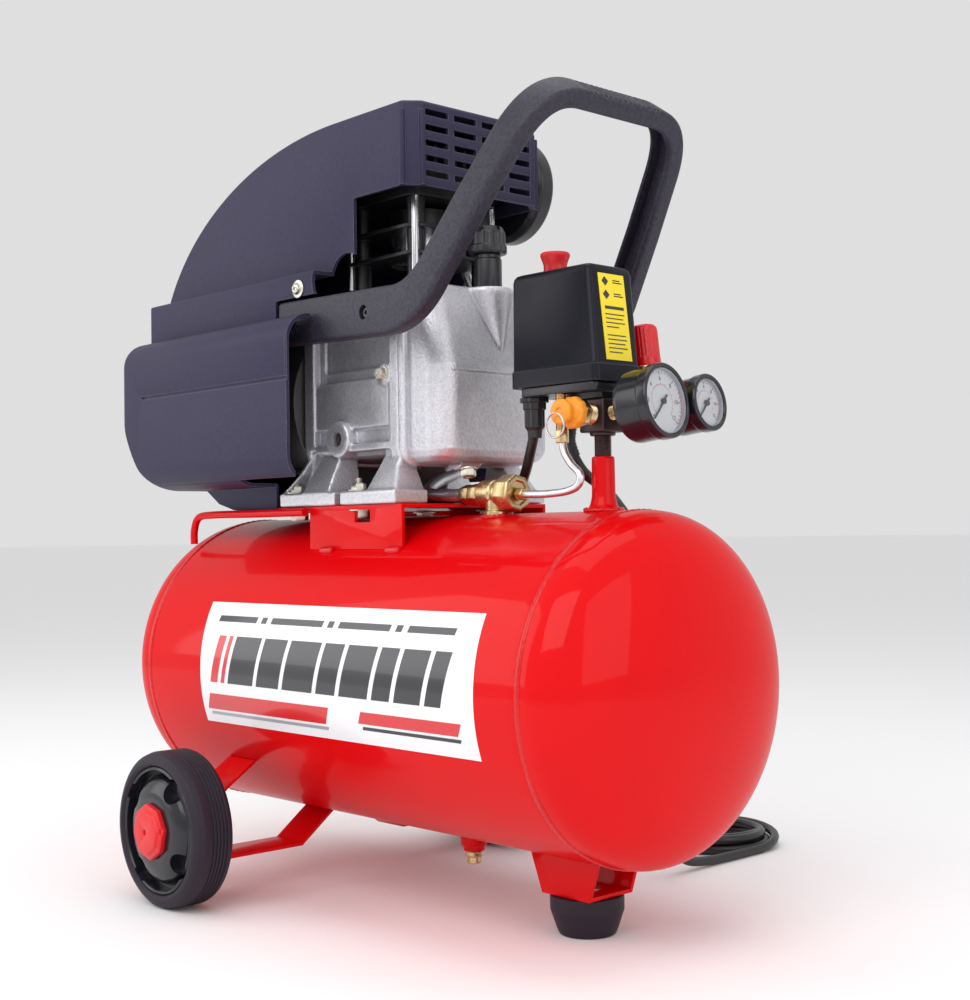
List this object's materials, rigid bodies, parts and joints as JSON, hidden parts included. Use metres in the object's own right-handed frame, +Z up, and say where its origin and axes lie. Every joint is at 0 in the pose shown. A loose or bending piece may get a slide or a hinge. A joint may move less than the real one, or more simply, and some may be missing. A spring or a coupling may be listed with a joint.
{
  "type": "air compressor",
  "caption": "Portable piston air compressor: a horizontal red tank on a rubber foot and wheels, with a motor-driven pump, shroud, carry handle, pressure switch and gauges on top.",
  "frame": {"origin": "on the floor under the middle of the tank", "axes": "+X along the tank towards the gauges and the rubber foot, +Z up, -Y the side with the label"},
  "size_m": [0.5639, 0.5463, 0.611],
  "materials": {
    "red_paint": "gloss enamel over steel",
    "foot_rubber": "moulded, slightly dusty",
    "tyre_rubber": "semi-matt solid rubber",
    "hub_plastic": "moulded, glossy",
    "red_plastic": "moulded",
    "fan_plastic": "moulded",
    "cast_aluminium": "sand-textured casting",
    "black_casting": "heat-proof black over cast iron",
    "piston_alloy": "machined",
    "machined_steel": "machined",
    "stator_steel": "black varnish over laminations",
    "dark_plastic": "fine spark-eroded texture",
    "handle_plastic": "coarse spark-eroded texture",
    "black_plastic": "moulded",
    "gauge_black": "gloss case with a white dial",
    "needle_black": "painted",
    "zinc_steel": "zinc plated",
    "dark_steel": "blackened",
    "brass": "machined",
    "orange_plastic": "moulded",
    "bright_tube": "drawn tube",
    "lead_rubber": "cable sheath",
    "plug_plastic": "moulded over metal pins"
  },
  "bodies": {
    "machine": {"axle_bracket_far": "red_paint", "axle_bracket_near": "red_paint", "breather_body": "black_plastic", "check_valve": "brass", "cord_coil": "lead_rubber", "cord_gland": "black_plastic", "crankcase": "cast_aluminium", "crankcase_cover": "cast_aluminium", "cylinder": "black_casting", "cylinder_head": "black_casting", "discharge_tube": "bright_tube", "drain_bung": "red_paint", "fan_cover": "dark_plastic", "foot_bracket": "red_paint", "front_foot": "foot_rubber", "handle": "handle_plastic", "intake_filter": "black_plastic", "manifold": "dark_steel", "motor_end_bell": "cast_aluminium", "motor_lead": "lead_rubber", "outlet_gauge_case": "gauge_black", "outlet_tail": "brass", "power_cord": "lead_rubber", "power_plug": "plug_plastic", "pump_saddle": "red_paint", "rail_far": "red_paint", "rail_near": "red_paint", "regulator_body": "brass", "riser_pipe": "red_paint", "safety_valve_body": "brass", "safety_valve_cap": "orange_plastic", "stator": "stator_steel", "switch_base": "black_plastic", "switch_cover": "black_plastic", "tank_gauge_case": "gauge_black", "tank_head_front": "red_paint", "tank_head_rear": "red_paint", "tank_shell": "red_paint", "unloader_tube": "bright_tube", "upper_shroud": "dark_plastic"},
    "crank": {"crankshaft": "machined_steel", "rotor": "machined_steel", "cooling_fan": "fan_plastic"},
    "piston": {"piston": "piston_alloy"},
    "rod": {"connecting_rod": "piston_alloy", "crank_pin": "machined_steel"},
    "wheel_near": {"tyre_near": "tyre_rubber", "wheel_hub_near": "hub_plastic", "hub_cap_near": "red_plastic"},
    "wheel_far": {"tyre_far": "tyre_rubber", "wheel_hub_far": "hub_plastic", "hub_cap_far": "red_plastic"},
    "drain": {"drain_valve": "brass"},
    "breather_lid": {"breather_cap": "black_plastic"},
    "pressure_knob": {"regulator_knob": "red_plastic"},
    "power_knob": {"switch_knob": "red_plastic"},
    "release_ring": {"safety_ring": "zinc_steel"},
    "tank_pointer": {"tank_gauge_needle": "needle_black"},
    "outlet_pointer": {"outlet_gauge_needle": "needle_black"}
  },
  "joints": [
    {"name": "crank_spin", "type": "hinge", "parent": "machine", "child": "crank", "pos_m": [-0.1, 0, 0.392], "axis": [1, 0, 0], "continuous": true},
    {"name": "piston_stroke", "type": "slide", "parent": "machine", "child": "piston", "axis": [0, 0, 1], "range_m": [-0.041, 0]},
    {"name": "rod_swing", "type": "hinge", "parent": "piston", "child": "rod", "pos_m": [-0.006, 0, 0.5205], "axis": [1, 0, 0], "range_deg": [-11, 11]},
    {"name": "near_wheel_spin", "type": "hinge", "parent": "machine", "child": "wheel_near", "pos_m": [-0.1145, -0.1835, 0.06], "axis": [0, 1, 0], "continuous": true},
    {"name": "far_wheel_spin", "type": "hinge", "parent": "machine", "child": "wheel_far", "pos_m": [-0.1145, 0.1835, 0.06], "axis": [0, 1, 0], "continuous": true},
    {"name": "drain_turn", "type": "hinge", "parent": "machine", "child": "drain", "pos_m": [0.048, 0, 0.0407], "axis": [0, 0, 1], "range_deg": [0, 360]},
    {"name": "breather_turn", "type": "hinge", "parent": "machine", "child": "breather_lid", "pos_m": [0.066, 0.006, 0.4996], "axis": [0, 0, 1], "range_deg": [0, 360]},
    {"name": "switch_press", "type": "slide", "parent": "machine", "child": "power_knob", "axis": [0, 0, -1], "range_m": [0, 0.006]},
    {"name": "ring_pull", "type": "slide", "parent": "machine", "child": "release_ring", "axis": [0, -1, 0], "range_m": [0, 0.003], "stiffness_N_per_m": 400},
    {"name": "regulator_turn", "type": "hinge", "parent": "machine", "child": "pressure_knob", "pos_m": [0.196, 0.046, 0.3665], "axis": [-0.1219, 0, 0.9925], "range_deg": [-360, 360]},
    {"name": "tank_needle_turn", "type": "hinge", "parent": "machine", "child": "tank_pointer", "pos_m": [0.202, -0.0046, 0.3675], "axis": [-0.988, -0.0951, -0.1219], "range_deg": [0, 270], "stiffness_Nm_per_rad": 0.0003},
    {"name": "outlet_needle_turn", "type": "hinge", "parent": "machine", "child": "outlet_pointer", "pos_m": [0.2111, 0.0444, 0.37], "axis": [-0.988, -0.0951, -0.1219], "range_deg": [0, 270], "stiffness_Nm_per_rad": 0.0003}
  ]
}
